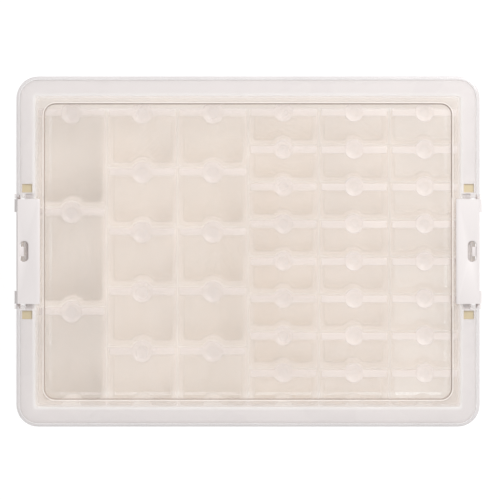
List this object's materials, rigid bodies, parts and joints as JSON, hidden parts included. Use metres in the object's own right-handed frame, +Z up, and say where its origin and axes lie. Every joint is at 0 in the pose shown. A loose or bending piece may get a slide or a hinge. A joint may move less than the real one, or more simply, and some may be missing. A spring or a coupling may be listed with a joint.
{
  "type": "bead storage box",
  "caption": "Shallow clear box with side latches, holding columns of nested flip-cap bead containers of several sizes.",
  "frame": {"origin": "middle of the foot ring's underside, on the surface the box rests on", "axes": "+X along the six columns of containers, +Y towards the edge the thumb tabs point at, +Z up"},
  "size_m": [0.3438, 0.257, 0.057],
  "materials": {
    "lid_plastic": "gloss",
    "tray_plastic": "gloss",
    "latch_plastic": "satin",
    "container_plastic": "gloss",
    "cap_plastic": "gloss"
  },
  "bodies": {
    "tray": {"tray": "tray_plastic"},
    "lid": {"lid": "lid_plastic"},
    "latch_left": {"latch_left": "latch_plastic"},
    "latch_right": {"latch_right": "latch_plastic"},
    "large_container_1": {"large_cup_1": "container_plastic", "large_cap_1": "cap_plastic"},
    "large_container_2": {"large_cup_2": "container_plastic", "large_cap_2": "cap_plastic"},
    "large_container_3": {"large_cup_3": "container_plastic", "large_cap_3": "cap_plastic"},
    "medium_container_1": {"medium_cup_1": "container_plastic", "medium_cap_1": "cap_plastic"},
    "medium_container_2": {"medium_cup_2": "container_plastic", "medium_cap_2": "cap_plastic"},
    "medium_container_3": {"medium_cup_3": "container_plastic", "medium_cap_3": "cap_plastic"},
    "medium_container_4": {"medium_cup_4": "container_plastic", "medium_cap_4": "cap_plastic"},
    "medium_container_5": {"medium_cup_5": "container_plastic", "medium_cap_5": "cap_plastic"},
    "medium_container_6": {"medium_cup_6": "container_plastic", "medium_cap_6": "cap_plastic"},
    "medium_container_7": {"medium_cup_7": "container_plastic", "medium_cap_7": "cap_plastic"},
    "medium_container_8": {"medium_cup_8": "container_plastic", "medium_cap_8": "cap_plastic"},
    "medium_container_9": {"medium_cup_9": "container_plastic", "medium_cap_9": "cap_plastic"},
    "medium_container_10": {"medium_cup_10": "container_plastic", "medium_cap_10": "cap_plastic"},
    "small_container_1": {"small_container_1": "container_plastic"},
    "small_container_2": {"small_container_2": "container_plastic"},
    "small_container_3": {"small_container_3": "container_plastic"},
    "small_container_4": {"small_container_4": "container_plastic"},
    "small_container_5": {"small_container_5": "container_plastic"},
    "small_container_6": {"small_container_6": "container_plastic"},
    "small_container_7": {"small_container_7": "container_plastic"},
    "small_container_8": {"small_container_8": "container_plastic"},
    "small_container_9": {"small_container_9": "container_plastic"},
    "small_container_10": {"small_container_10": "container_plastic"},
    "small_container_11": {"small_container_11": "container_plastic"},
    "small_container_12": {"small_container_12": "container_plastic"},
    "small_container_13": {"small_container_13": "container_plastic"},
    "small_container_14": {"small_container_14": "container_plastic"},
    "small_container_15": {"small_container_15": "container_plastic"},
    "small_container_16": {"small_container_16": "container_plastic"},
    "small_container_17": {"small_container_17": "container_plastic"},
    "small_container_18": {"small_container_18": "container_plastic"},
    "small_container_19": {"small_container_19": "container_plastic"},
    "small_container_20": {"small_container_20": "container_plastic"},
    "small_container_21": {"small_container_21": "container_plastic"},
    "small_container_22": {"small_container_22": "container_plastic"},
    "small_container_23": {"small_container_23": "container_plastic"},
    "small_container_24": {"small_container_24": "container_plastic"}
  },
  "joints": [
    {"name": "lid_lift", "type": "slide", "parent": "tray", "child": "lid", "axis": [0, 0, 1], "range_m": [0, 0.45]},
    {"name": "latch_left_swing", "type": "hinge", "parent": "tray", "child": "latch_left", "pos_m": [-0.169, 0, 0.0403], "axis": [0, -1, 0], "range_deg": [0, 115]},
    {"name": "latch_right_swing", "type": "hinge", "parent": "tray", "child": "latch_right", "pos_m": [0.169, 0, 0.0403], "axis": [0, 1, 0], "range_deg": [0, 115]},
    {"name": "large_container_1_lift", "type": "slide", "parent": "tray", "child": "large_container_1", "axis": [0, 0, 1], "range_m": [0, 0.36]},
    {"name": "large_container_2_lift", "type": "slide", "parent": "tray", "child": "large_container_2", "axis": [0, 0, 1], "range_m": [0, 0.36]},
    {"name": "large_container_3_lift", "type": "slide", "parent": "tray", "child": "large_container_3", "axis": [0, 0, 1], "range_m": [0, 0.36]},
    {"name": "medium_container_1_lift", "type": "slide", "parent": "tray", "child": "medium_container_1", "axis": [0, 0, 1], "range_m": [0, 0.36]},
    {"name": "medium_container_2_lift", "type": "slide", "parent": "tray", "child": "medium_container_2", "axis": [0, 0, 1], "range_m": [0, 0.36]},
    {"name": "medium_container_3_lift", "type": "slide", "parent": "tray", "child": "medium_container_3", "axis": [0, 0, 1], "range_m": [0, 0.36]},
    {"name": "medium_container_4_lift", "type": "slide", "parent": "tray", "child": "medium_container_4", "axis": [0, 0, 1], "range_m": [0, 0.36]},
    {"name": "medium_container_5_lift", "type": "slide", "parent": "tray", "child": "medium_container_5", "axis": [0, 0, 1], "range_m": [0, 0.36]},
    {"name": "medium_container_6_lift", "type": "slide", "parent": "tray", "child": "medium_container_6", "axis": [0, 0, 1], "range_m": [0, 0.36]},
    {"name": "medium_container_7_lift", "type": "slide", "parent": "tray", "child": "medium_container_7", "axis": [0, 0, 1], "range_m": [0, 0.36]},
    {"name": "medium_container_8_lift", "type": "slide", "parent": "tray", "child": "medium_container_8", "axis": [0, 0, 1], "range_m": [0, 0.36]},
    {"name": "medium_container_9_lift", "type": "slide", "parent": "tray", "child": "medium_container_9", "axis": [0, 0, 1], "range_m": [0, 0.36]},
    {"name": "medium_container_10_lift", "type": "slide", "parent": "tray", "child": "medium_container_10", "axis": [0, 0, 1], "range_m": [0, 0.36]},
    {"name": "small_container_1_lift", "type": "slide", "parent": "tray", "child": "small_container_1", "axis": [0, 0, 1], "range_m": [0, 0.36]},
    {"name": "small_container_2_lift", "type": "slide", "parent": "tray", "child": "small_container_2", "axis": [0, 0, 1], "range_m": [0, 0.36]},
    {"name": "small_container_3_lift", "type": "slide", "parent": "tray", "child": "small_container_3", "axis": [0, 0, 1], "range_m": [0, 0.36]},
    {"name": "small_container_4_lift", "type": "slide", "parent": "tray", "child": "small_container_4", "axis": [0, 0, 1], "range_m": [0, 0.36]},
    {"name": "small_container_5_lift", "type": "slide", "parent": "tray", "child": "small_container_5", "axis": [0, 0, 1], "range_m": [0, 0.36]},
    {"name": "small_container_6_lift", "type": "slide", "parent": "tray", "child": "small_container_6", "axis": [0, 0, 1], "range_m": [0, 0.36]},
    {"name": "small_container_7_lift", "type": "slide", "parent": "tray", "child": "small_container_7", "axis": [0, 0, 1], "range_m": [0, 0.36]},
    {"name": "small_container_8_lift", "type": "slide", "parent": "tray", "child": "small_container_8", "axis": [0, 0, 1], "range_m": [0, 0.36]},
    {"name": "small_container_9_lift", "type": "slide", "parent": "tray", "child": "small_container_9", "axis": [0, 0, 1], "range_m": [0, 0.36]},
    {"name": "small_container_10_lift", "type": "slide", "parent": "tray", "child": "small_container_10", "axis": [0, 0, 1], "range_m": [0, 0.36]},
    {"name": "small_container_11_lift", "type": "slide", "parent": "tray", "child": "small_container_11", "axis": [0, 0, 1], "range_m": [0, 0.36]},
    {"name": "small_container_12_lift", "type": "slide", "parent": "tray", "child": "small_container_12", "axis": [0, 0, 1], "range_m": [0, 0.36]},
    {"name": "small_container_13_lift", "type": "slide", "parent": "tray", "child": "small_container_13", "axis": [0, 0, 1], "range_m": [0, 0.36]},
    {"name": "small_container_14_lift", "type": "slide", "parent": "tray", "child": "small_container_14", "axis": [0, 0, 1], "range_m": [0, 0.36]},
    {"name": "small_container_15_lift", "type": "slide", "parent": "tray", "child": "small_container_15", "axis": [0, 0, 1], "range_m": [0, 0.36]},
    {"name": "small_container_16_lift", "type": "slide", "parent": "tray", "child": "small_container_16", "axis": [0, 0, 1], "range_m": [0, 0.36]},
    {"name": "small_container_17_lift", "type": "slide", "parent": "tray", "child": "small_container_17", "axis": [0, 0, 1], "range_m": [0, 0.36]},
    {"name": "small_container_18_lift", "type": "slide", "parent": "tray", "child": "small_container_18", "axis": [0, 0, 1], "range_m": [0, 0.36]},
    {"name": "small_container_19_lift", "type": "slide", "parent": "tray", "child": "small_container_19", "axis": [0, 0, 1], "range_m": [0, 0.36]},
    {"name": "small_container_20_lift", "type": "slide", "parent": "tray", "child": "small_container_20", "axis": [0, 0, 1], "range_m": [0, 0.36]},
    {"name": "small_container_21_lift", "type": "slide", "parent": "tray", "child": "small_container_21", "axis": [0, 0, 1], "range_m": [0, 0.36]},
    {"name": "small_container_22_lift", "type": "slide", "parent": "tray", "child": "small_container_22", "axis": [0, 0, 1], "range_m": [0, 0.36]},
    {"name": "small_container_23_lift", "type": "slide", "parent": "tray", "child": "small_container_23", "axis": [0, 0, 1], "range_m": [0, 0.36]},
    {"name": "small_container_24_lift", "type": "slide", "parent": "tray", "child": "small_container_24", "axis": [0, 0, 1], "range_m": [0, 0.36]}
  ]
}
